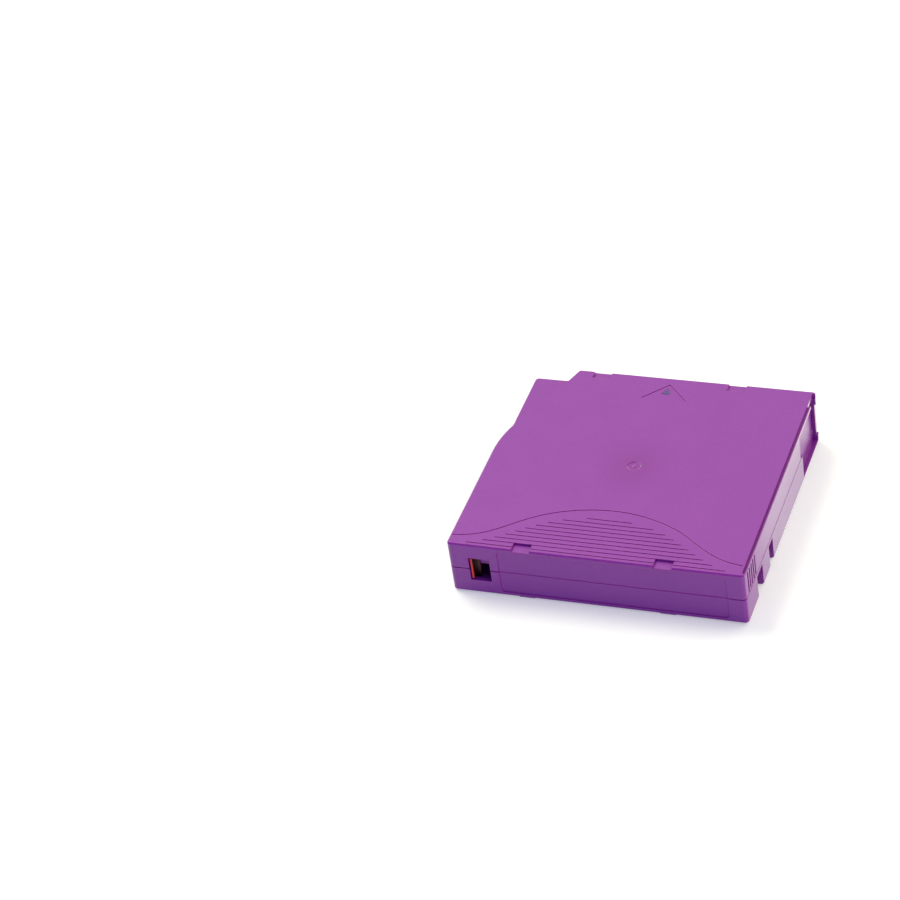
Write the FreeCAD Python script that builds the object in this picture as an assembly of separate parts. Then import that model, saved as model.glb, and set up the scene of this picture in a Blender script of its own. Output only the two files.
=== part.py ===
"""Half-inch data tape cartridge: two moulded shells round a single locked reel.

Frame: origin at the middle of the bounding box's underside, +Z up out of the top plate,
+Y the way the cartridge goes into a drive, +X towards the side with the tape door.
The label and the write-protect window are on the rear (-Y) wall. Millimetres.
"""
import FreeCAD
import Part
import math
import os

Vector = FreeCAD.Vector

# ---------------------------------------------------------------- driving sizes: casing
width = 105.4                # X, over the side walls
depth = 102.0                # Y, rear wall to front wall
height = 21.5                # Z, stacking ribs to top plate
wall = 1.8
top_plate = 1.6
floor_plate = 1.5
stack_rib_height = 0.25
seam_height = 10.7           # parting line between the two shells
top_bevel = 0.5
bottom_bevel = 0.7
rear_corner_radius = 1.5
front_corner_radius = 0.8

side_inset = 2.9             # the left wall steps in by this towards the front
side_bow_start = 51.0        # from the rear wall to where the left wall bows in
side_bow_length = 16.2
side_bow_radius = 0.4        # of the inside corner where the bow ends
step_depth = 6.8             # corner step at the front left
step_width = 15.0
step_riser_run = 2.4
step_radius = 1.4
step_inner_radius = 0.4
relief_depth = 0.25          # the lowered corner of the top plate beside the step
relief_from_riser = 1.4
relief_slope = 2.55          # its slanted line: Y run for each mm of X

seam_line = 0.3              # height of the fine groove that marks the parting line
seam_line_depth = 0.4
lip_thickness = 0.7          # tongue on the lower shell that locates the upper one
lip_height = 0.8
lip_gap = 0.1

# ---------------------------------------------------------------- driving sizes: top plate
stack_notch_width = 6.6
stack_notch_reach = 4.0
stack_notch_depth = 0.9
stack_notch_x = (-26.0, 24.3)
stack_rib_side_gap = 0.5
engraving_width = 0.36
engraving_depth = 0.22
arrow_tip_inset = 4.1        # chevron that shows which way to insert the cartridge
arrow_half_width = 8.2
arrow_length = 8.7
arrow_pad_half = 1.9         # printed triangle inside the chevron
arrow_pad_length = 3.7
arrow_pad_inset = 6.1
arrow_pad_depth = 0.08
gate_dish_radius = 2.5
gate_dish_floor_radius = 2.2
gate_dish_depth = 0.22
gate_nib_radius = 0.65
gate_nib_below_top = 0.02
gate_nib_rings = 4           # steps of the nib's round
line_pitch = 2.1             # fine lines moulded under the arch
line_first_inset = 20.55
line_half_lengths = (8.1, 16.2, 21.0, 24.5, 27.7, 30.8, 33.7, 37.0, 40.7, 45.9)
arch_points = (              # (x, distance from the rear wall)
    (-52.0, 4.7), (-46.4, 5.6), (-40.5, 8.0), (-36.5, 10.7), (-29.5, 16.2), (-22.2, 20.7),
    (-14.4, 23.7), (-2.0, 25.8), (9.0, 25.0), (18.9, 22.0), (25.5, 18.7), (30.7, 14.9),
    (37.0, 10.3), (42.5, 7.3), (47.5, 5.8), (51.0, 5.2))

# ---------------------------------------------------------------- driving sizes: side walls
edge_channel_from_side = 1.15    # channel along the top plate's edge above the door side
edge_channel_depth = 1.0
edge_rim = 0.25              # what is left outside the channel, a little below the plate
edge_rim_below_top = 0.4
grip_groove_count = 5
grip_groove_pitch = 2.25
grip_groove_width = 1.15
grip_groove_depth = 0.5
grip_inset = 3.5             # from the rear wall to the first grip groove
grip_above_seam = 0.8
grip_below_top = 1.4
notch_depth = 2.3            # gripping notches, open at the bottom
notch_height = 9.4
notch_backing = 1.2
notch_spans = ((14.1, 21.0), (30.0, 35.0))     # from the rear wall
label_depth = 0.3
label_left = 17.9            # from the left side
label_right = 6.5            # from the right side
label_bottom = 2.0
label_below_top = 1.5
label_radius = 1.4

# ---------------------------------------------------------------- driving sizes: reel
opening_gap = 0.9            # the drive opening in the floor, round the hub's bore
seat_width = 2.4
reel_side_gap = 1.7          # between the flanges and the nearest wall or door
flange_thickness = 1.2
flange_rim_thickness = 0.85
hub_radius = 22.0
hub_wall = 2.4
tape_width = 12.65
tape_side_gap = 0.15
pack_margin = 2.0            # the flanges stand out past the full tape pack
web_thickness = 1.4
web_underside_rise = 0.5     # the hub's web above the flange's inner face
centring_gap = 0.3
centring_ring = 1.0
weld_spigot = 1.0
weld_gap = 0.05

clutch_teeth = 60
clutch_tooth_height = 1.3
clutch_bore_gap = 0.6        # between the teeth and the hub's bore
clutch_tooth_length = 3.4
washer_inner_radius = 7.5
washer_tooth_gap = 1.3
washer_thickness = 1.0
plate_thickness = 1.4        # three-legged brake release plate
plate_gap = 0.1
plate_centre_radius = 5.0
plate_arm_width = 4.2
leg_radial = 3.0
leg_tangential = 4.6
leg_gap = 0.3
leg_tip_gap = 0.1
leg_count = 3

tooth_root_half = 0.38       # half a tooth's width at its root, as a part of the pitch
tooth_tip_half = 0.08        # the same at its tip

lock_teeth = 60
lock_tooth_height = 1.2
lock_leg_gap = 0.4           # the lock teeth end inside the drive teeth and the legs
lock_tooth_length = 3.4
lock_mesh_gap = 0.05
lock_ring_rise = 1.7         # foot of the hub's lock teeth above the web
lock_gap_teeth = 4           # teeth left out for each arm of the plate
brake_rim = 0.8              # the button's rim outside its teeth
brake_thickness = 1.45
brake_boss_radius = 5.6
brake_boss_height = 5.2
brake_pad_radius = 2.6
brake_slot_floor = 0.6
brake_travel = 1.5
post_tip_gap = 0.3           # under the cross post that keeps the brake from turning
post_rib_width = 1.6
post_rib_length = 8.0
post_gap = 0.15
brake_spring_radius = 7.4
brake_spring_wire = 0.7
brake_spring_turns = 4
coil_sides = 16              # straight runs in each turn of a spring
spring_fence_gap = 0.3
spring_fence = 0.9
spring_fence_height = 1.5

# ---------------------------------------------------------------- driving sizes: tape door
door_thickness = 1.3
door_bevel = 0.3
door_wall_gap = 0.15
door_edge_gap = 0.15
door_front_gap = 0.3
door_length = 26.4
door_travel = 23.0
door_rail = 0.65
door_rail_height = 1.0
door_rail_gap = 0.15
window_upper_start = 76.5    # from the rear wall to the window's rear edge
window_lower_start = 78.8
window_sill = 0.95           # thickness left in the floor under the window
plate_notch = 1.1            # the top plate is set back beside the front corner
plate_notch_start = 94.0
plate_notch_end = 100.6
post_trim = 0.6              # the front wall's end is set back between foot and lip
post_trim_foot = 3.4
post_trim_lip = 4.6
release_slot_width = 2.0     # slot in the front wall for the finger that opens the door
release_slot_bottom = 2.2
release_slot_height = 3.4
door_lug = 1.2
door_lug_half = 1.7
door_spring_radius = 1.25
door_spring_wire = 0.36
door_spring_turns = 14
door_spring_height = 13.1
spring_stop = 1.2
spring_stop_y = 24.8         # from the rear wall to the spring stop's front face
spring_wall_gap = 0.15

# ---------------------------------------------------------------- driving sizes: leader pin
pin_from_right = 8.6
pin_from_rear = 95.0
pin_radius = 1.45
pin_head_radius = 1.9
pin_head = 1.2
pin_neck_radius = 1.0
pin_neck = 1.2
pin_end_gap = 0.15
tape_thickness = 0.1
tape_pack_gap = 0.1
tape_pin_gap = 0.05
tape_wrap_angle = 160.0
clip_thickness = 0.7
clip_gap = 0.05
clip_start_angle = 8.0       # both from where the tape meets the pin
clip_end_angle = 262.0
clip_end_gap = 0.15          # inside the pin's necks
seat_gap = 0.15
seat_wall = 1.0
seat_height = 1.1
retainer_sheet = 0.3
retainer_width = 0.8
retainer_reach = 4.6
retainer_back_width = 2.4
retainer_hook_angle = 70.0
retainer_gap = 0.05
retainer_rib = 0.6
retainer_rib_height = 2.2

# ---------------------------------------------------------------- driving sizes: write protect
protect_left = 7.2           # window, from the left side
protect_width = 7.6
protect_bottom = 6.0
protect_height = 9.6
slider_thickness = 1.6
slider_gap = 0.12
slider_overlap = 1.1
slider_show = 2.9            # width of the slider that shows in the window at rest
slider_nub_face = 0.8
slider_wedge = 1.1           # how far the nub's slanted side runs back into the plate
slider_nub_inset = 0.3
slider_nub_gap = 0.45
slider_travel = 4.7
protect_rail = 1.0
protect_stop_gap = 0.2

# ---------------------------------------------------------------- driving sizes: memory
board_length = 18.6
board_width = 9.6
board_thickness = 0.8
board_from_right = 18.4
board_from_rear = 5.9
board_above_floor = 4.05
board_cheek = 1.4
coil_margin = 0.7
coil_track = 1.5
coil_thickness = 0.1
chip_size = 3.4
chip_thickness = 0.7
board_stop_height = 1.2
board_stop = 0.7
board_stop_gap = 0.15
board_hold_rib = 1.5
board_hold_gap = 0.1

# ---------------------------------------------------------------- driving sizes: fastening
screw_left_rear = (5.4, 9.5)         # each from its side wall, and from the rear or front wall
screw_right_rear = (4.9, 4.8)
screw_left_front = (8.1, 11.8)
screw_right_front = (17.2, 5.2)
screw_shank = 0.95
screw_clearance = 0.2
screw_thread_gap = 0.02
screw_length = 10.5
screw_head_radius = 1.9
screw_head = 1.2
screw_head_bevel = 0.25
screw_tip_bevel = 0.4
screw_recess_width = 0.45
screw_recess_length = 2.2
screw_recess_depth = 0.7
counterbore_gap = 0.3
screw_sink = 0.5
boss_radius = 2.8
datum_radius = 2.0
datum_depth = 5.0
datum_wall = 1.0
datum_x = 35.0
datum_from_front = 11.5
datum_slot_length = 6.0
arc_wall = 0.8
arc_wall_gap = 1.9
arc_wall_height = 4.6
arc_wall_spans = ((116, 128), (148, 160), (206, 244), (322, 332), (62, 76))    # degrees

# ---------------------------------------------------------------- derived places
right = width / 2
left = -right
front = depth / 2
rear = -front
bottom = stack_rib_height
floor_top = bottom + floor_plate
ceiling = height - top_plate
inner_right = right - wall
inner_left = left + wall
inner_front = front - wall
inner_rear = rear + wall

door_outer = inner_right - door_wall_gap
door_inner = door_outer - door_thickness
door_front = inner_front - door_front_gap
door_rear = door_front - door_length
door_spring_x = inner_right - spring_wall_gap - door_spring_radius - door_spring_wire / 2

reel_height = tape_width + 2 * tape_side_gap + 2 * flange_thickness
reel_lift = (ceiling - floor_top - reel_height) / 2      # the reel sits midway in the casing
reel_base = floor_top + reel_lift
lower_flange_top = reel_base + flange_thickness
upper_flange_base = lower_flange_top + tape_width + 2 * tape_side_gap
upper_flange_top = upper_flange_base + flange_thickness
flange_radius = min(inner_front, door_inner) - reel_side_gap
pack_radius = flange_radius - pack_margin
hub_bore = hub_radius - hub_wall
opening_radius = hub_bore + opening_gap
clutch_outer_radius = hub_bore - clutch_bore_gap
clutch_inner_radius = clutch_outer_radius - clutch_tooth_length
washer_outer_radius = clutch_inner_radius - washer_tooth_gap
leg_radius = (clutch_outer_radius + clutch_inner_radius) / 2
lock_outer_radius = clutch_inner_radius - lock_leg_gap
lock_inner_radius = lock_outer_radius - lock_tooth_length
brake_radius = lock_outer_radius + brake_rim
web_base = lower_flange_top + web_underside_rise
web_top = web_base + web_thickness
plate_base = web_top + plate_gap
plate_top = plate_base + plate_thickness
lock_root = web_top + lock_ring_rise
lock_tip = lock_root + lock_tooth_height
brake_base = lock_tip + lock_mesh_gap
brake_top = brake_base + brake_thickness
post_bottom = brake_top + brake_slot_floor + brake_travel + post_tip_gap

pin_x = right - pin_from_right
pin_at_y = rear + pin_from_rear
pin_foot = floor_top + pin_end_gap
pin_crown = ceiling - pin_end_gap

window_left = left + protect_left
window_right = window_left + protect_width
window_top = protect_bottom + protect_height
slider_front_y = inner_rear + slider_gap
slider_back_y = slider_front_y + slider_thickness
rail_y = slider_back_y + slider_gap
slider_low = protect_bottom - slider_overlap
slider_high = window_top + slider_overlap
slider_right = window_left + slider_show
slider_left = slider_right - protect_width - protect_stop_gap
slider_stop = slider_right + slider_travel + protect_stop_gap

board_x = right - board_from_right

screw_places = (
    (left + screw_left_rear[0], rear + screw_left_rear[1]),
    (right - screw_right_rear[0], rear + screw_right_rear[1]),
    (left + screw_left_front[0], front - screw_left_front[1]),
    (right - screw_right_front[0], front - screw_right_front[1]),
)


# ---------------------------------------------------------------- shape helpers
def box(x0, x1, y0, y1, z0, z1):
    return Part.makeBox(x1 - x0, y1 - y0, z1 - z0, Vector(x0, y0, z0))


def cylinder(x, y, radius, z0, z1):
    return Part.makeCylinder(radius, z1 - z0, Vector(x, y, z0))


def ring(inner, outer, z0, z1, x=0.0, y=0.0):
    return cylinder(x, y, outer, z0, z1).cut(cylinder(x, y, inner, z0, z1))


def sector(inner, outer, start, end, z0, z1, x=0.0, y=0.0):
    """A curved wall between two radii, from start to end in degrees."""
    a0, a1 = math.radians(start), math.radians(end)
    mid = (a0 + a1) / 2

    def at(radius, angle):
        return Vector(x + radius * math.cos(angle), y + radius * math.sin(angle), z0)

    edges = [
        Part.Arc(at(inner, a0), at(inner, mid), at(inner, a1)).toShape(),
        Part.LineSegment(at(inner, a1), at(outer, a1)).toShape(),
        Part.Arc(at(outer, a1), at(outer, mid), at(outer, a0)).toShape(),
        Part.LineSegment(at(outer, a0), at(inner, a0)).toShape(),
    ]
    return Part.Face(Part.Wire(edges)).extrude(Vector(0, 0, z1 - z0))


def rounded_wire(corners, z=0.0):
    """A closed wire through (x, y, radius) corners, each rounded by a tangent arc."""
    count = len(corners)
    edges = []
    entries = []
    for k, (x, y, radius) in enumerate(corners):
        here = Vector(x, y, z)
        before = (Vector(corners[k - 1][0], corners[k - 1][1], z) - here).normalize()
        ahead = corners[(k + 1) % count]
        after = (Vector(ahead[0], ahead[1], z) - here).normalize()
        half = before.getAngle(after) / 2
        run = radius / math.tan(half) if radius > 0 else 0.0
        start = here + before * run
        end = here + after * run
        if radius > 0:
            inward = (before + after).normalize()
            middle = here + inward * (radius / math.sin(half) - radius)
            edges.append(Part.Arc(start, middle, end).toShape())
        entries.append((start, end))
    for k in range(count):
        leave = entries[k][1]
        arrive = entries[(k + 1) % count][0]
        if (arrive - leave).Length > 1e-6:
            edges.append(Part.LineSegment(leave, arrive).toShape())
    return Part.Wire(Part.sortEdges(edges)[0])


def casing_outline():
    """Plan of the casing: square at the rear, stepped at the front left."""
    step_y = front - step_depth
    riser_x = left + step_width
    return rounded_wire([
        (left, rear, rear_corner_radius),
        (right, rear, rear_corner_radius),
        (right, front, front_corner_radius),
        (riser_x + step_riser_run, front, step_radius),
        (riser_x, step_y, step_inner_radius),
        (left + side_inset, step_y, step_radius),
        (left + side_inset, rear + side_bow_start + side_bow_length, side_bow_radius),
        side_bow(),
    ])


def side_bow():
    """Corner and radius that make the left wall's bow one arc, nearly as long as its run."""
    tangent = (side_bow_length ** 2 + side_inset ** 2) / (2 * side_bow_length)
    turn = math.atan2(side_inset, side_bow_length - tangent)
    return left, rear + side_bow_start + tangent, 0.97 * tangent / math.tan(turn / 2)


def casing_prism(inset, z0, z1):
    """The casing's plan, taken in by inset, between two heights."""
    outline = casing_outline()
    if inset:
        outline = outline.makeOffset2D(-inset, 2)
    face = Part.Face(outline)
    face.translate(Vector(0, 0, z0))
    return face.extrude(Vector(0, 0, z1 - z0))


def edges_at(shape, z):
    return [e for e in shape.Edges if all(abs(v.Z - z) < 1e-6 for v in e.Vertexes)]


def wall_band(outer_inset, inner_inset, z0, z1):
    return casing_prism(outer_inset, z0, z1).cut(casing_prism(inner_inset, z0, z1))


def engraved_line(points, half=engraving_width / 2):
    """A groove of rectangular section along straight runs on the top plate."""
    cuts = []
    for (x0, y0), (x1, y1) in zip(points, points[1:]):
        run = Vector(x1 - x0, y1 - y0, 0)
        side = Vector(-run.y, run.x, 0).normalize() * half
        start = Vector(x0, y0, height - engraving_depth)
        corners = [start + side, start - side, start + run - side, start + run + side]
        face = Part.Face(Part.makePolygon(corners + corners[:1]))
        cuts.append(face.extrude(Vector(0, 0, engraving_depth)))
    return cuts


def smooth_curve(points):
    curve = Part.BSplineCurve()
    curve.interpolate(points)
    return curve


def engraved_curve(points):
    """A groove along a smooth curve through the points, on the top plate."""
    points = [Vector(x, y, height - engraving_depth) for x, y in points]
    middle = smooth_curve(points)
    rails = []
    for half in (engraving_width / 2, -engraving_width / 2):
        shifted = []
        for point in points:
            along = middle.tangent(middle.parameter(point))[0]
            shifted.append(point + Vector(-along.y, along.x, 0) * half)
        rails.append((smooth_curve(shifted).toShape(), shifted))
    (a, a_points), (b, b_points) = rails
    ends = [Part.LineSegment(a_points[k], b_points[k]).toShape() for k in (0, -1)]
    outline = Part.Wire(Part.sortEdges([a, b] + ends)[0])
    return Part.Face(outline).extrude(Vector(0, 0, engraving_depth))


def turned(profile):
    """The solid that an (r, z) profile sweeps about the Z axis."""
    wire = Part.makePolygon([Vector(r, 0, z) for r, z in profile + profile[:1]])
    return Part.Face(wire).revolve(Vector(0, 0, 0), Vector(0, 0, 1), 360)


def polar(shape, count):
    """Copies of a shape, evenly spaced about the reel's axis."""
    copies = []
    for k in range(count):
        copy = shape.copy()
        copy.rotate(Vector(0, 0, 0), Vector(0, 0, 1), 360.0 * k / count)
        copies.append(copy)
    return copies


def face_tooth(inner, outer, teeth, root, tip):
    """One tooth of a face gear on the X axis: it widens outwards, flanks in the plan's rays."""
    pitch = 2 * math.pi / teeth
    root_half, tip_half = tooth_root_half * pitch, tooth_tip_half * pitch
    profiles = []
    for radius in (inner, outer):
        low, high = radius * math.tan(root_half), radius * math.tan(tip_half)
        corners = [
            Vector(radius, -low, root), Vector(radius, low, root),
            Vector(radius, high, tip), Vector(radius, -high, tip)]
        profiles.append(Part.makePolygon(corners + corners[:1]))
    return Part.makeLoft(profiles, True, True)


def coil_spring(radius, wire, turns, length):
    """A compression spring on +Z, as long as its seats are apart, wire of square section."""
    half = wire / 2
    sections = []
    for k in range(turns * coil_sides + 1):
        turn = 2 * math.pi * k / coil_sides
        z = half + (length - wire) * k / (turns * coil_sides)
        corners = [
            Vector(r * math.cos(turn), r * math.sin(turn), z + up)
            for r, up in ((radius - half, -half), (radius + half, -half),
                          (radius + half, half), (radius - half, half))]
        sections.append(Part.makePolygon(corners + corners[:1]))
    return Part.makeLoft(sections, True, True)


# ---------------------------------------------------------------- casing features
def stack_slots():
    """Notches in the top plate that take the ribs of the cartridge stacked above."""
    half = stack_notch_width / 2
    floor = height - stack_notch_depth
    cuts = []
    for x in stack_notch_x:
        cuts.append(box(x - half, x + half, rear, rear + stack_notch_reach, floor, height))
        cuts.append(box(x - half, x + half, front - stack_notch_reach, front, floor, height))
    return cuts


def stack_ribs():
    half = stack_notch_width / 2 - stack_rib_side_gap
    reach = stack_notch_reach - stack_rib_side_gap
    start = bottom_bevel
    root = bottom + floor_plate / 2
    ribs = []
    for x in stack_notch_x:
        ribs.append(box(x - half, x + half, rear + start, rear + reach, 0, root))
        ribs.append(box(x - half, x + half, front - reach, front - start, 0, root))
    return ribs


def label_recess():
    """Shallow field in the rear wall, sized for a label and left bare."""
    x0, x1 = left + label_left, right - label_right
    z0, z1 = label_bottom, height - label_below_top
    outline = rounded_wire([
        (x0, z0, label_radius), (x1, z0, label_radius),
        (x1, z1, label_radius), (x0, z1, label_radius)])
    outline.rotate(Vector(0, 0, 0), Vector(1, 0, 0), 90)
    outline.translate(Vector(0, rear + label_depth, 0))
    return Part.Face(outline).extrude(Vector(0, -label_depth, 0))


def protect_window():
    return box(window_left, window_right, rear, inner_rear, protect_bottom, window_top)


def door_window():
    """The tape opening in the right wall, with the sill that is left under it."""
    upper = box(door_outer, right, rear + window_upper_start, inner_front, seam_height, ceiling)
    lower = box(inner_right, right, rear + window_lower_start, inner_front,
                bottom + window_sill, seam_height + lip_height)
    return [upper, lower]


def post_trim_cut():
    """The front wall's end is set back between its foot and the lip under the top plate."""
    return box(right - post_trim, right, inner_front, front,
               post_trim_foot, height - post_trim_lip)


def side_notches():
    cuts, backs = [], []
    for y0, y1 in notch_spans:
        for side in (-1, 1):
            edge = side * right
            deep = edge - side * notch_depth
            back = deep - side * notch_backing
            x0, x1 = sorted((edge, deep))
            cuts.append(box(x0, x1, rear + y0, rear + y1, 0, notch_height))
            x0, x1 = sorted((edge - side * wall / 2, back))
            backs.append(box(x0, x1, rear + y0 - notch_backing, rear + y1 + notch_backing,
                             bottom + floor_plate / 2, notch_height + notch_backing))
    return cuts, backs


def edge_channel():
    """Channel along the plate's right edge, and the thin rim outside it, set a little lower."""
    x0 = right - edge_channel_from_side
    y0, y1 = rear + rear_corner_radius, rear + plate_notch_start
    return [box(x0, right - edge_rim, y0, y1, height - edge_channel_depth, height),
            box(x0, right, y0, y1, height - edge_rim_below_top, height)]


def grip_grooves():
    z0 = seam_height + grip_above_seam
    z1 = height - grip_below_top
    cuts = []
    for k in range(grip_groove_count):
        y0 = rear + grip_inset + k * grip_groove_pitch
        y1 = y0 + grip_groove_width
        cuts.append(box(right - grip_groove_depth, right, y0, y1, z0, z1))
        cuts.append(box(left, left + grip_groove_depth, y0, y1, z0, z1))
    return cuts


def top_engraving():
    """Arch with its fan of fine lines, the insertion chevron and its triangle."""
    cuts = [engraved_curve([(x, rear + y) for x, y in arch_points])]
    for k, half in enumerate(line_half_lengths):
        y = rear + line_first_inset - k * line_pitch
        cuts += engraved_line([(-half, y), (half, y)])
    tip_y = front - arrow_tip_inset
    foot_y = tip_y - arrow_length
    cuts += engraved_line([(-arrow_half_width, foot_y), (0, tip_y), (arrow_half_width, foot_y)])
    pad_tip = front - arrow_pad_inset
    corners = [
        Vector(-arrow_pad_half, pad_tip - arrow_pad_length, height - arrow_pad_depth),
        Vector(arrow_pad_half, pad_tip - arrow_pad_length, height - arrow_pad_depth),
        Vector(0, pad_tip, height - arrow_pad_depth)]
    pad = Part.Face(Part.makePolygon(corners + corners[:1]))
    cuts.append(pad.extrude(Vector(0, 0, arrow_pad_depth)))
    return cuts


def gate_dish():
    """Shallow dish round the moulding gate, with the gate's round nib left in its middle."""
    floor = height - gate_dish_depth
    nib = gate_dish_depth - gate_nib_below_top
    profile = [(0, height), (gate_dish_radius, height), (gate_dish_floor_radius, floor)]
    for k in range(gate_nib_rings + 1):
        turn = math.pi / 2 * k / gate_nib_rings
        profile.append((gate_nib_radius * math.cos(turn), floor + nib * math.sin(turn)))
    return turned(profile)


def corner_relief():
    """The front left corner of the top plate lies a little lower, up to a slanted line."""
    step_y = front - step_depth
    z0 = height - relief_depth
    across = left + step_width - relief_from_riser
    run = relief_slope * (across - left)
    corners = [Vector(across, step_y, z0), Vector(left, step_y, z0),
               Vector(left, step_y - run, z0)]
    face = Part.Face(Part.makePolygon(corners + corners[:1]))
    return face.extrude(Vector(0, 0, relief_depth))


def arc_walls(z0, z1):
    """Curved ribs that keep the reel's space clear in the corners."""
    inner = flange_radius + arc_wall_gap
    return [sector(inner, inner + arc_wall, a, b, z0, z1) for a, b in arc_wall_spans]


def door_rails(z0, z1):
    """The rail that keeps the door against the side wall over its whole travel."""
    x1 = door_inner - door_rail_gap
    return box(x1 - door_rail, x1, door_rear - door_travel, inner_front, z0, z1)


def pin_seat(z0, z1):
    """Open cup for one head of the leader pin; it opens towards the door."""
    inner = pin_head_radius + seat_gap
    cup = ring(inner, inner + seat_wall, z0, z1, pin_x, pin_at_y)
    mouth = box(pin_x, pin_x + 2 * pin_head_radius, pin_at_y - inner, pin_at_y + inner, z0, z1)
    return cup.cut(mouth)


def board_cheeks():
    """Slanted end rests under the memory board."""
    _, out = board_axes()
    plane = board_centre() + out * (board_thickness / 2)
    sum_yz = plane.y + plane.z
    cheeks = []
    for x0 in (board_x - board_length / 2, board_x + board_length / 2 - board_cheek):
        corners = [
            Vector(x0, inner_rear, floor_top), Vector(x0, sum_yz - floor_top, floor_top),
            Vector(x0, inner_rear, sum_yz - inner_rear)]
        face = Part.Face(Part.makePolygon(corners + corners[:1]))
        cheeks.append(face.extrude(Vector(board_cheek, 0, 0)))
    return cheeks


def board_holders():
    """Ribs under the top plate whose slanted ends hold the board down on its cheeks."""
    across, out = board_axes()
    face_point = board_centre() - out * (board_thickness / 2 + board_hold_gap)
    sum_yz = face_point.y + face_point.z
    end_y = rear + board_from_rear
    holders = []
    for side in (-1, 1):
        x0 = board_x + side * (chip_size / 2 + board_hold_rib) - board_hold_rib / 2
        corners = [
            Vector(x0, inner_rear, ceiling), Vector(x0, inner_rear, sum_yz - inner_rear),
            Vector(x0, end_y, sum_yz - end_y), Vector(x0, end_y, ceiling)]
        face = Part.Face(Part.makePolygon(corners + corners[:1]))
        holders.append(face.extrude(Vector(board_hold_rib, 0, 0)))
    return holders


def board_axes():
    """(direction across the board, outward normal): it leans at 45 degrees over the floor."""
    lean = math.sqrt(0.5)
    return Vector(0, -lean, lean), Vector(0, -lean, -lean)


def board_centre():
    return Vector(board_x, rear + board_from_rear, floor_top + board_above_floor)


def board_slab(length, across, thickness, offset, hole=None):
    """A slab in the board's plane; offset is its middle's distance along the normal."""
    def plate(long, wide):
        body = Part.makeBox(long, wide, thickness, Vector(-long / 2, -wide / 2, -thickness / 2))
        body.rotate(Vector(0, 0, 0), Vector(1, 0, 0), 135)
        body.translate(board_centre() + board_axes()[1] * offset)
        return body

    slab = plate(length, across)
    return slab.cut(plate(*hole)) if hole else slab


# ---------------------------------------------------------------- the two shells
def make_upper_shell():
    body = casing_prism(0, seam_height, height)
    body = body.makeChamfer(top_bevel, edges_at(body, height))
    shell = body.cut(casing_prism(wall, seam_height, ceiling))
    rebate = wall_band(wall - lip_thickness - lip_gap, wall,
                       seam_height, seam_height + lip_height + lip_gap)
    shell = shell.cut([rebate, wall_band(0, seam_line_depth, seam_height,
                                         seam_height + seam_line)])

    adds = arc_walls(ceiling - arc_wall_height, ceiling)
    adds += [cylinder(x, y, boss_radius, seam_height, ceiling) for x, y in screw_places]
    adds.append(door_rails(ceiling - door_rail_height, ceiling))
    adds.append(pin_seat(ceiling - seat_height, ceiling))
    half_width, half_length = post_rib_width / 2, post_rib_length / 2
    adds.append(box(-half_width, half_width, -half_length, half_length, post_bottom, ceiling))
    adds.append(box(-half_length, half_length, -half_width, half_width, post_bottom, ceiling))
    fence = brake_spring_radius + brake_spring_wire / 2 + spring_fence_gap
    adds.append(ring(fence, fence + spring_fence, ceiling - spring_fence_height, ceiling))
    rail_right = slider_stop + protect_rail
    adds.append(box(inner_left, rail_right, rail_y, rail_y + protect_rail,
                    seam_height + slider_gap, ceiling))
    adds.append(box(inner_left, rail_right, inner_rear, rail_y + protect_rail,
                    slider_high + slider_gap, ceiling))
    adds.append(box(slider_stop, rail_right, inner_rear,
                    rail_y + protect_rail, seam_height + slider_gap, ceiling))
    adds += board_holders()
    shell = shell.fuse(adds)

    cuts = stack_slots() + top_engraving() + edge_channel() + grip_grooves()
    cuts += [gate_dish(), corner_relief(), label_recess(), protect_window(), post_trim_cut()]
    cuts.append(door_window()[0])
    cuts.append(box(right - plate_notch, right, rear + plate_notch_start,
                    rear + plate_notch_end, ceiling, height))
    hole = screw_shank + screw_thread_gap
    tip = bottom + screw_sink + screw_head + screw_length + screw_clearance
    cuts += [cylinder(x, y, hole, seam_height, tip) for x, y in screw_places]
    return shell.cut(cuts).removeSplitter()


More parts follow.
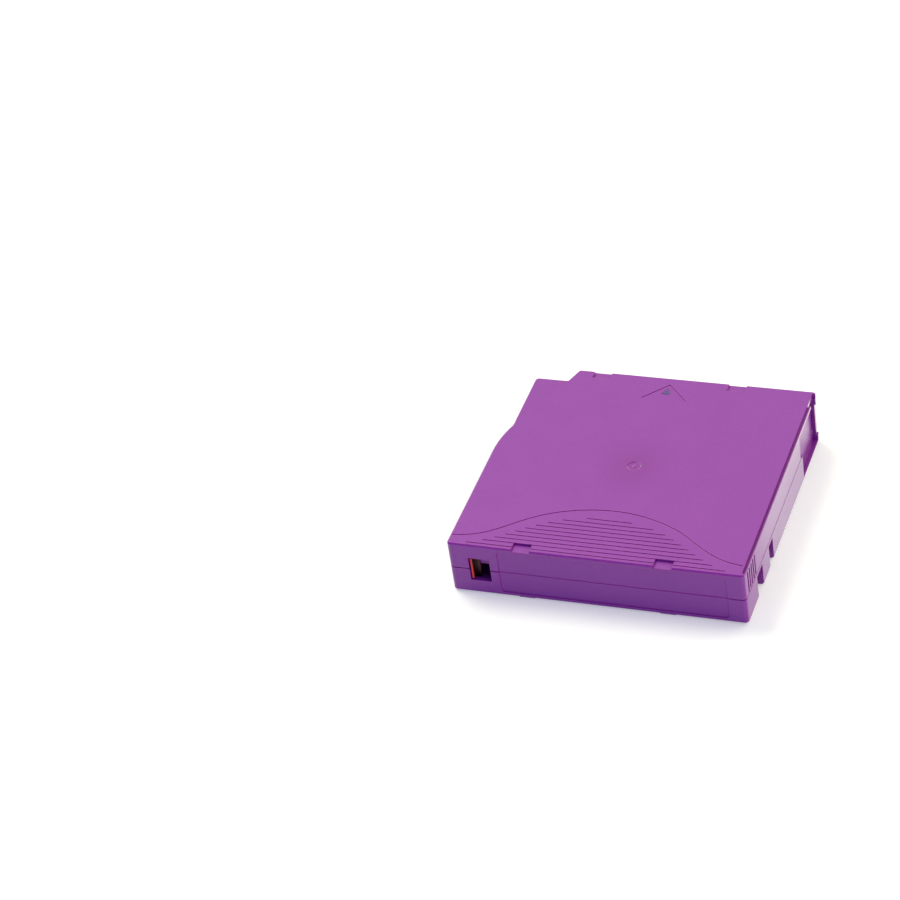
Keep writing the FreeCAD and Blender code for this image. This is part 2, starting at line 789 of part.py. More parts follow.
def make_lower_shell():
    body = casing_prism(0, bottom, seam_height)
    body = body.makeChamfer(bottom_bevel, edges_at(body, bottom))
    shell = body.cut(casing_prism(wall, floor_top, seam_height))
    notch_cuts, notch_backs = side_notches()

    adds = [wall_band(wall - lip_thickness, wall, seam_height, seam_height + lip_height)]
    adds += notch_backs + stack_ribs()
    adds.append(ring(opening_radius, opening_radius + seat_width, floor_top, reel_base))
    adds += arc_walls(floor_top, floor_top + arc_wall_height)
    adds += [cylinder(x, y, boss_radius, floor_top, seam_height) for x, y in screw_places]
    datum_y = front - datum_from_front
    datum_top = bottom + datum_depth + datum_wall
    datum_boss = datum_radius + datum_wall
    adds.append(cylinder(-datum_x, datum_y, datum_boss, floor_top, datum_top))
    adds.append(slot_prism(datum_x, datum_y, datum_boss, floor_top, datum_top))
    adds.append(door_rails(floor_top, floor_top + door_rail_height))
    adds.append(pin_seat(floor_top, floor_top + seat_height))
    rail_right = slider_stop + protect_rail
    adds.append(box(inner_left, rail_right, inner_rear, rail_y + protect_rail,
                    floor_top, slider_low - slider_gap))
    stop_front = rear + spring_stop_y
    adds.append(box(door_spring_x - door_spring_radius, inner_right - spring_wall_gap,
                    stop_front - spring_stop, stop_front,
                    floor_top, door_spring_height + door_lug_half))
    for x0 in (retainer_x() - retainer_rib - retainer_gap,
               retainer_x() + retainer_sheet + retainer_gap):
        adds.append(box(x0, x0 + retainer_rib, retainer_back_y() + 2 * retainer_sheet,
                        inner_front, floor_top, floor_top + retainer_rib_height))
    adds += board_cheeks()
    across, out = board_axes()
    edge = board_centre() - across * (board_width / 2) - out * (board_thickness / 2)
    adds.append(box(board_x - board_width / 2, board_x + board_width / 2,
                    edge.y + board_stop_gap, edge.y + board_stop_gap + board_stop,
                    floor_top, floor_top + board_stop_height))
    shell = shell.fuse(adds)

    cuts = notch_cuts + [label_recess(), protect_window(), post_trim_cut()]
    cuts += door_window()
    cuts.append(cylinder(0, 0, opening_radius, 0, reel_base))
    head = screw_head_radius + counterbore_gap
    head_top = bottom + screw_sink + screw_head
    for x, y in screw_places:
        cuts.append(cylinder(x, y, head, 0, head_top))
        cuts.append(cylinder(x, y, screw_shank + screw_clearance, 0, seam_height))
    cuts.append(cylinder(-datum_x, datum_y, datum_radius, 0, bottom + datum_depth))
    cuts.append(slot_prism(datum_x, datum_y, datum_radius, 0, bottom + datum_depth))
    slot_right = door_outer - door_edge_gap
    cuts.append(box(slot_right - release_slot_width, slot_right, inner_front, front,
                    release_slot_bottom, release_slot_bottom + release_slot_height))
    return shell.cut(cuts).removeSplitter()


def slot_prism(x, y, radius, z0, z1):
    """A round-ended slot along X."""
    reach = datum_slot_length / 2 - datum_radius      # of the slot's straight stretch
    body = box(x - reach, x + reach, y - radius, y + radius, z0, z1)
    return body.fuse([cylinder(x + s * reach, y, radius, z0, z1) for s in (-1, 1)])


# ---------------------------------------------------------------- reel and its brake
def make_reel_hub():
    """Hub, lower flange, drive teeth below the web and lock teeth above it, one moulding."""
    slim = flange_thickness - flange_rim_thickness
    profile = [
        (0, web_base), (hub_bore, web_base), (hub_bore, reel_base),
        (opening_radius + seat_width + centring_gap, reel_base),
        (opening_radius + seat_width + centring_gap, reel_base - reel_lift / 2),
        (opening_radius + seat_width + centring_gap + centring_ring, reel_base - reel_lift / 2),
        (opening_radius + seat_width + centring_gap + centring_ring, reel_base),
        (flange_radius, reel_base + slim), (flange_radius, lower_flange_top),
        (hub_radius, lower_flange_top), (hub_radius, upper_flange_base),
        (hub_bore + weld_spigot, upper_flange_base), (hub_bore + weld_spigot, upper_flange_top),
        (hub_bore, upper_flange_top), (hub_bore, web_top), (0, web_top)]
    body = turned(profile).fuse(ring(lock_inner_radius, lock_outer_radius, web_top, lock_root))

    gap = plate_arm_width + 2 * leg_gap
    arm_ways = polar(box(lock_inner_radius - leg_gap, lock_outer_radius + leg_gap,
                         -gap / 2, gap / 2, web_top, lock_tip), leg_count)
    body = body.cut(arm_ways)
    body = body.fuse(drive_teeth() + lock_teeth_of_hub())
    hole = box(leg_radius - leg_radial / 2 - leg_gap, leg_radius + leg_radial / 2 + leg_gap,
               -leg_tangential / 2 - leg_gap, leg_tangential / 2 + leg_gap,
               web_base - clutch_tooth_height, web_top)
    body = body.cut(polar(hole, leg_count))
    return body.removeSplitter()


def teeth_between_legs(tooth, count, left_out):
    """A ring of teeth with a gap for each leg, evenly on both sides of the leg's middle."""
    pitch = 360.0 / count
    per_leg = count // leg_count
    kept = []
    for leg in range(leg_count):
        for k in range(per_leg - left_out):
            copy = tooth.copy()
            turn = 360.0 * leg / leg_count + (k + left_out / 2 + 0.5) * pitch
            copy.rotate(Vector(0, 0, 0), Vector(0, 0, 1), turn)
            kept.append(copy)
    return kept


def drive_teeth():
    tooth = face_tooth(clutch_inner_radius, clutch_outer_radius, clutch_teeth,
                       web_base, web_base - clutch_tooth_height)
    return teeth_between_legs(tooth, clutch_teeth, lock_gap_teeth)


def lock_teeth_of_hub():
    tooth = face_tooth(lock_inner_radius, lock_outer_radius, lock_teeth, lock_root, lock_tip)
    return teeth_between_legs(tooth, lock_teeth, lock_gap_teeth)


def make_upper_flange():
    inner = hub_bore + weld_spigot + weld_gap
    slim = flange_thickness - flange_rim_thickness
    profile = [
        (inner, upper_flange_base), (flange_radius, upper_flange_base),
        (flange_radius, upper_flange_top - slim), (hub_radius, upper_flange_top),
        (inner, upper_flange_top)]
    return turned(profile)


def make_tape_pack():
    low = lower_flange_top + tape_side_gap
    return ring(hub_radius, pack_radius, low, low + tape_width)


def make_clutch_washer():
    return ring(washer_inner_radius, washer_outer_radius, web_base - washer_thickness, web_base)


def make_release_plate():
    """Three-armed plate whose legs reach down through the web between the drive teeth."""
    body = cylinder(0, 0, plate_centre_radius, plate_base, plate_top)
    half = plate_arm_width / 2
    leg_out = leg_radius + leg_radial / 2
    leg_in = leg_radius - leg_radial / 2
    arm = box(0, leg_out, -half, half, plate_base, plate_top)
    tip = web_base - clutch_tooth_height + leg_tip_gap
    leg = box(leg_in, leg_out, -leg_tangential / 2, leg_tangential / 2, tip, plate_top)
    return body.fuse(polar(arm, leg_count) + polar(leg, leg_count)).removeSplitter()


def make_brake_button():
    """Toothed disc with a boss whose crossed slot slides on the top plate's post."""
    body = cylinder(0, 0, brake_radius, brake_base, brake_top)
    body = body.fuse([
        cylinder(0, 0, brake_boss_radius, brake_top, brake_top + brake_boss_height),
        cylinder(0, 0, brake_pad_radius, plate_top, brake_base)])
    tooth = face_tooth(lock_inner_radius, lock_outer_radius, lock_teeth,
                       brake_base, brake_base - lock_tooth_height)
    body = body.fuse(polar(tooth, lock_teeth))
    half_width = post_rib_width / 2 + post_gap
    half_length = post_rib_length / 2 + post_gap
    z0, z1 = brake_top + brake_slot_floor, brake_top + brake_boss_height
    body = body.cut([
        box(-half_width, half_width, -half_length, half_length, z0, z1),
        box(-half_length, half_length, -half_width, half_width, z0, z1)])
    return body.removeSplitter()


def make_brake_spring():
    spring = coil_spring(brake_spring_radius, brake_spring_wire, brake_spring_turns,
                         ceiling - brake_top)
    spring.translate(Vector(0, 0, brake_top))
    return spring


# ---------------------------------------------------------------- tape door
def make_access_door():
    plate = box(door_inner, door_outer, door_rear, door_front,
                floor_top + door_edge_gap, ceiling - door_edge_gap)
    upright = [e for e in plate.Edges
               if all(abs(v.X - door_outer) < 1e-6 for v in e.Vertexes)
               and abs(e.Vertexes[0].Y - e.Vertexes[-1].Y) < 1e-6]
    plate = plate.makeChamfer(door_bevel, upright)
    lug = box(door_spring_x - door_spring_radius, door_inner, door_rear, door_rear + door_lug,
              door_spring_height - door_lug_half, door_spring_height + door_lug_half)
    return plate.fuse(lug).removeSplitter()


def make_door_spring():
    start = rear + spring_stop_y
    spring = coil_spring(door_spring_radius, door_spring_wire, door_spring_turns,
                         door_rear - start)
    spring.rotate(Vector(0, 0, 0), Vector(1, 0, 0), -90)
    spring.translate(Vector(door_spring_x, start, door_spring_height))
    return spring


# ---------------------------------------------------------------- leader pin and tape end
def make_leader_pin():
    profile = [
        (0, pin_foot), (pin_head_radius, pin_foot), (pin_head_radius, pin_foot + pin_head),
        (pin_neck_radius, pin_foot + pin_head),
        (pin_neck_radius, pin_foot + pin_head + pin_neck),
        (pin_radius, pin_foot + pin_head + pin_neck),
        (pin_radius, pin_crown - pin_head - pin_neck),
        (pin_neck_radius, pin_crown - pin_head - pin_neck),
        (pin_neck_radius, pin_crown - pin_head),
        (pin_head_radius, pin_crown - pin_head), (pin_head_radius, pin_crown), (0, pin_crown)]
    pin = turned(profile)
    pin.translate(Vector(pin_x, pin_at_y, 0))
    return pin


def tape_span():
    low = lower_flange_top + tape_side_gap
    return low, low + tape_width


def tape_side():
    """(direction from the reel to the tape's straight run, its angle in degrees)

    The run is tangent to the tape pack and to the pin, both on the same side of it.
    """
    to_pin = math.hypot(pin_x, pin_at_y)
    turn = math.atan2(pin_at_y, pin_x) - math.acos(
        (pack_radius + tape_pack_gap - pin_radius - tape_pin_gap) / to_pin)
    return Vector(math.cos(turn), math.sin(turn), 0), math.degrees(turn)


def make_tape_lead():
    """The free end of the tape: straight from the pack, then round the pin under its clip."""
    z0, z1 = tape_span()
    inner = pin_radius + tape_pin_gap
    side, angle = tape_side()
    leaves = side * (pack_radius + tape_pack_gap) + Vector(0, 0, z0)
    meets = Vector(pin_x, pin_at_y, z0) + side * inner
    skin = side * tape_thickness
    outline = Part.makePolygon([leaves, meets, meets + skin, leaves + skin, leaves])
    straight = Part.Face(outline).extrude(Vector(0, 0, z1 - z0))
    wrap = sector(inner, inner + tape_thickness, angle, angle + tape_wrap_angle, z0, z1,
                  pin_x, pin_at_y)
    return straight.fuse(wrap).removeSplitter()


def make_pin_clip():
    z0 = pin_foot + pin_head + pin_neck + clip_end_gap
    z1 = pin_crown - pin_head - pin_neck - clip_end_gap
    inner = pin_radius + tape_pin_gap + tape_thickness + clip_gap
    _, angle = tape_side()
    return sector(inner, inner + clip_thickness, angle + clip_start_angle,
                  angle + clip_end_angle, z0, z1, pin_x, pin_at_y)


def retainer_x():
    return pin_x - retainer_reach


def retainer_back_y():
    return pin_at_y + pin_neck_radius + retainer_gap


def make_pin_retainer():
    """Sheet-metal spring: a back strip with an upper and a lower arm that hook round the necks."""
    x0 = retainer_x()
    y0 = retainer_back_y()
    low = pin_foot + pin_head + (pin_neck - retainer_width) / 2
    high = pin_crown - pin_head - (pin_neck - retainer_width) / 2
    parts = [box(x0, x0 + retainer_sheet, y0, y0 + retainer_back_width, low, high)]
    inner = pin_neck_radius + retainer_gap
    for z0 in (low, high - retainer_width):
        z1 = z0 + retainer_width
        parts.append(box(x0, pin_x, y0, y0 + retainer_sheet, z0, z1))
        parts.append(sector(inner, inner + retainer_sheet, 90 - retainer_hook_angle, 90, z0, z1,
                            pin_x, pin_at_y))
    return parts[0].fuse(parts[1:]).removeSplitter()


# ---------------------------------------------------------------- write protect, memory, screws
def make_write_protect_slider():
    """Red slider: a plate behind the rear wall with a wedge-shaped nub in the window."""
    plate = box(slider_left, slider_right, slider_front_y, slider_back_y,
                slider_low, slider_high)
    x0 = window_left + slider_nub_gap
    wedge_y = slider_front_y + slider_wedge
    plate = plate.cut(box(x0 + slider_nub_face, slider_right + 1, slider_front_y - 1, wedge_y,
                          slider_low - 1, slider_high + 1))
    corners = [
        Vector(x0, wedge_y, 0), Vector(slider_right, wedge_y, 0),
        Vector(x0 + slider_nub_face, rear + slider_nub_inset, 0),
        Vector(x0, rear + slider_nub_inset, 0)]
    face = Part.Face(Part.makePolygon(corners + corners[:1]))
    face.translate(Vector(0, 0, protect_bottom + slider_nub_gap))
    nub = face.extrude(Vector(0, 0, protect_height - 2 * slider_nub_gap))
    return plate.fuse(nub).removeSplitter()


def make_memory_board():
    return board_slab(board_length, board_width, board_thickness, 0)


def make_antenna_coil():
    long = board_length - 2 * (board_cheek + coil_margin)
    wide = board_width - 2 * coil_margin
    return board_slab(long, wide, coil_thickness, (board_thickness + coil_thickness) / 2,
                      hole=(long - 2 * coil_track, wide - 2 * coil_track))


def make_memory_chip():
    return board_slab(chip_size, chip_size, chip_thickness,
                      -(board_thickness + chip_thickness) / 2)


def make_screws():
    """Four equal screws, driven from below."""
    z0 = bottom + screw_sink
    screws = []
    for x, y in screw_places:
        head = cylinder(x, y, screw_head_radius, z0, z0 + screw_head)
        head = head.makeChamfer(screw_head_bevel, edges_at(head, z0))
        shank = cylinder(x, y, screw_shank, z0 + screw_head, z0 + screw_head + screw_length)
        shank = shank.makeChamfer(screw_tip_bevel, edges_at(shank, z0 + screw_head + screw_length))
        half, reach = screw_recess_width / 2, screw_recess_length / 2
        top = z0 + screw_recess_depth
        cross = [box(x - half, x + half, y - reach, y + reach, z0, top),
                 box(x - reach, x + reach, y - half, y + half, z0, top)]
        screws.append(head.fuse(shank).cut(cross))
    return Part.makeCompound(screws)


NODES = {
    "upper_shell": make_upper_shell,
    "lower_shell": make_lower_shell,
    "reel_hub": make_reel_hub,
    "reel_upper_flange": make_upper_flange,
    "tape_pack": make_tape_pack,
    "clutch_washer": make_clutch_washer,
    "brake_release_plate": make_release_plate,
    "brake_button": make_brake_button,
    "brake_spring": make_brake_spring,
    "access_door": make_access_door,
    "door_spring": make_door_spring,
    "leader_pin": make_leader_pin,
    "tape_lead": make_tape_lead,
    "leader_pin_clip": make_pin_clip,
    "pin_retaining_spring": make_pin_retainer,
    "write_protect_slider": make_write_protect_slider,
    "memory_board": make_memory_board,
    "memory_antenna_coil": make_antenna_coil,
    "memory_chip": make_memory_chip,
    "case_screws": make_screws,
}

os.makedirs("parts", exist_ok=True)
for name, make in NODES.items():
    shape = make()
    shape.exportStep(f"parts/{name}.step")
    print(name, len(shape.Solids), "solid(s)", round(shape.Volume, 1), "mm3", shape.isValid())
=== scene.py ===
# %% [markdown]
# # A data tape cartridge
# A half-inch data tape cartridge is two moulded half shells, screwed together round one
# reel. The engineering model already has every shell, rib and tooth in its true place, so
# nothing here moves or reshapes it. What is left for Blender is the look: the spark-eroded
# skin of the purple shells, the printed arrow, wire springs with round wire, the wound edge
# of the tape, the steel, and a plain white studio. Each step below is one piece or one finish.

# %% Load the engineering model
import math

import bmesh
import bpy
from mathutils import Matrix, Vector


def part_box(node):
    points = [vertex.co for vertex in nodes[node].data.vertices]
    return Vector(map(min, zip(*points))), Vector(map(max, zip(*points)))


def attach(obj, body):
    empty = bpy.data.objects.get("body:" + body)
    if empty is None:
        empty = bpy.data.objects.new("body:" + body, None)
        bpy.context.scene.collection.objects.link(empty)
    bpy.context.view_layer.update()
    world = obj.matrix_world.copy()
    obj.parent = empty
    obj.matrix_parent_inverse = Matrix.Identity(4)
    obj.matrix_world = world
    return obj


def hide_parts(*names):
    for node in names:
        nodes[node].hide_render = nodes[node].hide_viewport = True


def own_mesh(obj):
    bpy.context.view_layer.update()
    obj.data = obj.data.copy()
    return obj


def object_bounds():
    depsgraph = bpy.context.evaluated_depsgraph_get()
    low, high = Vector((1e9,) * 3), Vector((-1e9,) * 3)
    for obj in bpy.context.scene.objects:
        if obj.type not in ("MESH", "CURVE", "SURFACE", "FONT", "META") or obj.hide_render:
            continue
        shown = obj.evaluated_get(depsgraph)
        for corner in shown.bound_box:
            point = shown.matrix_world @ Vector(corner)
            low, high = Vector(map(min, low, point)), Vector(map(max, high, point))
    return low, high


MM = 0.001
scene = bpy.context.scene
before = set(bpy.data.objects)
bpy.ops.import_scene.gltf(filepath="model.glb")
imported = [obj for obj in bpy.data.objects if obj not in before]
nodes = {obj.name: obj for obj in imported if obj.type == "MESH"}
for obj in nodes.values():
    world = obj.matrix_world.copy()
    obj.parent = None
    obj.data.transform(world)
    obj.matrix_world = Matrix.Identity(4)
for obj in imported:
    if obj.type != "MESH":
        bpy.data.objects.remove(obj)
cad_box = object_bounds()

# %% [markdown]
# ## Camera
# The cartridge lies flat and is seen from above its rear wall, turned a little to show the
# door side. A long lens keeps its edges almost parallel. The camera is placed by an azimuth,
# an elevation and a small roll, because those three say how a tripod's head is turned, and a
# matrix made of the three axes holds them with no rotation order to get wrong.

# %% Camera
CAMERA_AZIMUTH = math.radians(24.4246)
CAMERA_ELEVATION = math.radians(37.5075)
CAMERA_ROLL = math.radians(-9.5161)
CAMERA_PLACE = Vector((307.841, -828.714, 718.591)) * MM
LENS = 128.972


def camera_axes(azimuth, elevation, roll):
    """The camera's right, up and back directions."""
    back = Vector((math.sin(azimuth) * math.cos(elevation),
                   -math.cos(azimuth) * math.cos(elevation),
                   math.sin(elevation)))
    level = Vector((math.cos(azimuth), math.sin(azimuth), 0))
    upright = back.cross(level)
    right = level * math.cos(roll) + upright * math.sin(roll)
    return right, back.cross(right), back


camera_data = bpy.data.cameras.new("studio_camera")
camera_data.lens = LENS
camera_data.sensor_width = 36
camera_data.clip_start = 0.01
camera = bpy.data.objects.new("studio_camera", camera_data)
scene.collection.objects.link(camera)
turn = Matrix(camera_axes(CAMERA_AZIMUTH, CAMERA_ELEVATION, CAMERA_ROLL)).transposed()
camera.matrix_world = Matrix.Translation(CAMERA_PLACE) @ turn.to_4x4()
scene.camera = camera
print("camera distance:", round(CAMERA_PLACE.length, 3), "m")

# %% [markdown]
# ## Building a material from nodes
# Every finish below is a small tree of shader nodes. A helper that adds a node, sets its
# values and joins its inputs in one call keeps each tree short enough to read as a recipe.

# %% Node helpers


def add_node(tree, kind, settings=None, **inputs):
    """A node of that kind; each input is a value, or the socket of another node.

    An input's name has _ for a space. Inputs that share a name go by number, as _6.
    """
    node = tree.nodes.new(kind)
    for name, value in (settings or {}).items():
        setattr(node, name, value)
    for name, value in inputs.items():
        key = int(name[1:]) if name[1:].isdigit() else name.replace("_", " ")
        socket = node.inputs[key]
        if isinstance(value, bpy.types.NodeSocket):
            tree.links.new(value, socket)
        else:
            socket.default_value = value
    return node


def new_group(name, sockets_in, sockets_out):
    """An empty shader group, and its input and output nodes."""
    group = bpy.data.node_groups.new(name, "ShaderNodeTree")
    for label, kind, default in sockets_in:
        socket = group.interface.new_socket(label, in_out="INPUT", socket_type=kind)
        socket.default_value = default
    for label, kind in sockets_out:
        group.interface.new_socket(label, in_out="OUTPUT", socket_type=kind)
    return group, group.nodes.new("NodeGroupInput"), group.nodes.new("NodeGroupOutput")


def new_material(name):
    """A material with a Principled shader, its tree and the shader."""
    material = bpy.data.materials.new(name)
    material.use_nodes = True
    tree = material.node_tree
    return material, tree, tree.nodes["Principled BSDF"]


def srgb(red, green, blue, alpha=1.0):
    """A colour as it is named on screen, from 0 to 255, as the linear colour shaders use."""
    def linear(value):
        value /= 255
        return value / 12.92 if value <= 0.04045 else ((value + 0.055) / 1.055) ** 2.4
    return linear(red), linear(green), linear(blue), alpha


print("mid grey on screen is", round(srgb(128, 128, 128)[0], 3), "of full light")

# %% [markdown]
# ## The skin of a moulding
# Three things tell the eye that a part is moulded plastic: a fine grain etched into the
# mould, edges that are never quite sharp, and a slight unevenness of colour where the melt
# flowed. The Bevel node finds the edges by looking at the surface round each point, so one
# node gives both the rounded shading and a mask for a painted highlight: a brighter colour
# painted along the edges. The Ambient Occlusion node finds narrow grooves and hollows, and a
# darker colour is painted into them as shade. All of it goes into one group, because every
# plastic piece needs it. The group also puts out a mask of the open faces, where nothing is
# an edge or a groove.

# %% Group: moulded skin
FLOW_SCALE = 60.0          # the melt's slow unevenness
FLOW_SHARE = 0.16          # its share in the mottle; the fine grain has 0.5
GLOSS_SPREAD = 0.08        # how far the mottle moves the roughness


def build_moulded_skin():
    group, source, sink = new_group(
        "moulded skin",
        [("Color", "NodeSocketColor", (0.8, 0.8, 0.8, 1)),
         ("Edge Color", "NodeSocketColor", (0.8, 0.8, 0.8, 1)),
         ("Groove Color", "NodeSocketColor", (0.4, 0.4, 0.4, 1)),
         ("Groove Reach", "NodeSocketFloat", 0.8 * MM),
         ("Groove Full", "NodeSocketFloat", 0.45),
         ("Edge Radius", "NodeSocketFloat", 0.25 * MM),
         ("Grain Scale", "NodeSocketFloat", 3500.0),
         ("Grain Depth", "NodeSocketFloat", 0.02 * MM),
         ("Mottle", "NodeSocketFloat", 0.06),
         ("Roughness", "NodeSocketFloat", 0.4)],
        [("Color", "NodeSocketColor"), ("Roughness", "NodeSocketFloat"),
         ("Normal", "NodeSocketVector"), ("Open Face", "NodeSocketFloat")])
    place = add_node(group, "ShaderNodeTexCoord")
    grain = add_node(group, "ShaderNodeTexNoise", Vector=place.outputs["Object"],
                     Scale=source.outputs["Grain Scale"], Detail=3.0, Roughness=0.6)
    flow = add_node(group, "ShaderNodeTexNoise", Vector=place.outputs["Object"],
                    Scale=FLOW_SCALE, Detail=4.0, Roughness=0.55)
    rounded = add_node(group, "ShaderNodeBevel", {"samples": 6},
                       Radius=source.outputs["Edge Radius"])
    true = add_node(group, "ShaderNodeNewGeometry")
    facing = add_node(group, "ShaderNodeVectorMath", {"operation": "DOT_PRODUCT"},
                      _0=rounded.outputs["Normal"], _1=true.outputs["True Normal"])
    edge = add_node(group, "ShaderNodeMapRange", Value=facing.outputs["Value"],
                    From_Min=0.985, From_Max=0.86, To_Min=0.0, To_Max=1.0)
    opening = add_node(group, "ShaderNodeAmbientOcclusion", {"samples": 6},
                       Distance=source.outputs["Groove Reach"])
    groove = add_node(group, "ShaderNodeMapRange", Value=opening.outputs["AO"],
                      From_Min=0.85, From_Max=source.outputs["Groove Full"],
                      To_Min=0.0, To_Max=1.0)
    spread = add_node(group, "ShaderNodeMapRange", Value=flow.outputs["Fac"],
                      From_Min=0.3, From_Max=0.7, To_Min=-FLOW_SHARE, To_Max=FLOW_SHARE)
    speck = add_node(group, "ShaderNodeMapRange", Value=grain.outputs["Fac"],
                     From_Min=0.3, From_Max=0.7, To_Min=-0.5, To_Max=0.5)
    both = add_node(group, "ShaderNodeMath", {"operation": "ADD"},
                    _0=spread.outputs["Result"], _1=speck.outputs["Result"])
    shade = add_node(group, "ShaderNodeMath", {"operation": "MULTIPLY_ADD"},
                     _0=both.outputs["Value"], _1=source.outputs["Mottle"], _2=1.0)
    body = add_node(group, "ShaderNodeVectorMath", {"operation": "SCALE"},
                    _0=source.outputs["Color"], Scale=shade.outputs["Value"])
    # painted highlight: the brighter edge colour mixed in along the edges
    painted_edge_highlight = add_node(group, "ShaderNodeMix", {"data_type": "RGBA"},
                    Factor=edge.outputs["Result"], _6=body.outputs["Vector"],
                    _7=source.outputs["Edge Color"])
    # painted shade: the darker groove colour mixed in where ambient occlusion finds grooves and
    # hollows
    painted_groove_shade = add_node(group, "ShaderNodeMix", {"data_type": "RGBA"},
                    Factor=groove.outputs["Result"], _6=painted_edge_highlight.outputs[2],
                    _7=source.outputs["Groove Color"])
    gloss = add_node(group, "ShaderNodeMath", {"operation": "MULTIPLY_ADD"},
                     _0=both.outputs["Value"], _1=GLOSS_SPREAD,
                     _2=source.outputs["Roughness"])
    bump = add_node(group, "ShaderNodeBump", Strength=1.0,
                    Distance=source.outputs["Grain Depth"], Height=grain.outputs["Fac"],
                    Normal=rounded.outputs["Normal"])
    either = add_node(group, "ShaderNodeMath", {"operation": "MAXIMUM"},
                      _0=edge.outputs["Result"], _1=groove.outputs["Result"])
    open_face = add_node(group, "ShaderNodeMath", {"operation": "SUBTRACT"},
                         _0=1.0, _1=either.outputs["Value"])
    for label, socket in (("Color", painted_groove_shade.outputs[2]), ("Roughness", gloss.outputs["Value"]),
                          ("Normal", bump.outputs["Normal"]),
                          ("Open Face", open_face.outputs["Value"])):
        group.links.new(socket, sink.inputs[label])
    return group


MOULDED_SKIN = build_moulded_skin()


def moulded_plastic(name, color, edge_color, groove_color, roughness, specular=0.5,
                    **skin_values):
    """A plastic finish: the shared skin group in front of one Principled shader."""
    material, tree, shader = new_material(name)
    skin = add_node(tree, "ShaderNodeGroup", {"node_tree": MOULDED_SKIN},
                    Color=color, Edge_Color=edge_color, Groove_Color=groove_color,
                    Roughness=roughness, **skin_values)
    for socket in ("Roughness", "Normal"):
        tree.links.new(skin.outputs[socket], shader.inputs[socket])
    tree.links.new(skin.outputs["Color"], shader.inputs["Base Color"])
    shader.inputs["Specular IOR Level"].default_value = specular
    return material, skin


print("skin group has", len(MOULDED_SKIN.nodes), "nodes")

# %% [markdown]
# ## Purple plastic that turns pale at a glance
# The shells are a deep purple, but their satin skin mirrors the white studio, and the more
# so the flatter one looks along a wall. One layer of gloss can't be quiet on the top plate and
# strong on the side wall, so a coat is laid over it. Its weight follows Layer Weight's facing
# value, which says how glancing the view is. Hands hold the cartridge by its label end, at the
# rear, so the gloss is weaker there.

# %% Glancing coat
PURPLE = srgb(140, 44, 148)
# painted highlight colour for the shells' edges
PURPLE_EDGE_HIGHLIGHT = srgb(184, 26, 156)
# painted shade colour for the shells' grooves and hollows
PURPLE_GROOVE_SHADE = srgb(136, 12, 138)
HANDLED_GLOSS = 0.28       # what hands leave of the gloss at the rear wall
HANDLED_REACH = 48 * MM
rear_y = cad_box[0][1]


def glancing_coat(finish, start, end, weight, roughness, ior):
    """A clear coat on open faces, where the surface is seen at a glancing angle."""
    material, skin = finish
    tree = material.node_tree
    shader = tree.nodes["Principled BSDF"]
    glance = add_node(tree, "ShaderNodeLayerWeight", Blend=0.5)
    rise = add_node(tree, "ShaderNodeMapRange", {"interpolation_type": "SMOOTHSTEP"},
                    Value=glance.outputs["Facing"], From_Min=start, From_Max=end,
                    To_Min=0.0, To_Max=weight)
    cover = add_node(tree, "ShaderNodeMath", {"operation": "MULTIPLY"},
                     _0=rise.outputs["Result"], _1=skin.outputs["Open Face"])
    place = add_node(tree, "ShaderNodeTexCoord")
    along = add_node(tree, "ShaderNodeSeparateXYZ", Vector=place.outputs["Object"])
    polish = add_node(tree, "ShaderNodeMapRange", {"interpolation_type": "SMOOTHSTEP"},
                      Value=along.outputs["Y"], From_Min=rear_y,
                      From_Max=rear_y + HANDLED_REACH, To_Min=HANDLED_GLOSS, To_Max=1.0)
    gloss = add_node(tree, "ShaderNodeMath", {"operation": "MULTIPLY"},
                     _0=cover.outputs["Value"], _1=polish.outputs["Result"])
    tree.links.new(gloss.outputs["Value"], shader.inputs["Coat Weight"])
    shader.inputs["Coat Roughness"].default_value = roughness
    shader.inputs["Coat IOR"].default_value = ior


print("the coat is full from y =", round(rear_y + HANDLED_REACH, 4))

# %% [markdown]
# ## A deeper colour round the middle
# Molten plastic enters the mould at the gate, here the middle of the top plate, on the reel's
# axis. A mask of the distance from that axis mixes a slightly deeper colour into the shell
# there, fading out 17 mm from the axis.

# %% Deeper middle


def centre_deepening(finish, color, start, reach, strength):
    """A deeper colour round the casing's centre, on the axis through the middle of the top
    plate.
    """
    material, skin = finish
    tree = material.node_tree
    place = add_node(tree, "ShaderNodeTexCoord")
    flat = add_node(tree, "ShaderNodeVectorMath", {"operation": "MULTIPLY"},
                    _0=place.outputs["Object"], _1=(1, 1, 0))
    radius = add_node(tree, "ShaderNodeVectorMath", {"operation": "LENGTH"},
                      _0=flat.outputs["Vector"])
    fade = add_node(tree, "ShaderNodeMapRange", {"interpolation_type": "SMOOTHSTEP"},
                    Value=radius.outputs["Value"], From_Min=reach, From_Max=start,
                    To_Min=0.0, To_Max=strength)
    deepened = add_node(tree, "ShaderNodeMix", {"data_type": "RGBA"},
                     Factor=fade.outputs["Result"], _6=skin.outputs["Color"], _7=color)
    tree.links.new(deepened.outputs[2], tree.nodes["Principled BSDF"].inputs["Base Color"])


print("centre deepening ready")

# %% [markdown]
# ## Each plastic piece's own finish
# The shells and the door share one purple, and the door is a little smoother. The slider's
# window is deep, so its painted groove shade reaches far and paints it dark inside. The reel
# and the brake's pieces are uncoloured resins, white and slightly warm, which their makers
# leave plain. Every piece's edge colour is a painted highlight, and its groove colour is painted
# shade.

# %% Plastic finishes


def give_finish(material, *names):
    """Puts a material on engineering pieces, in place of the one they came with."""
    for name in names:
        nodes[name].data.materials.clear()
        nodes[name].data.materials.append(material)


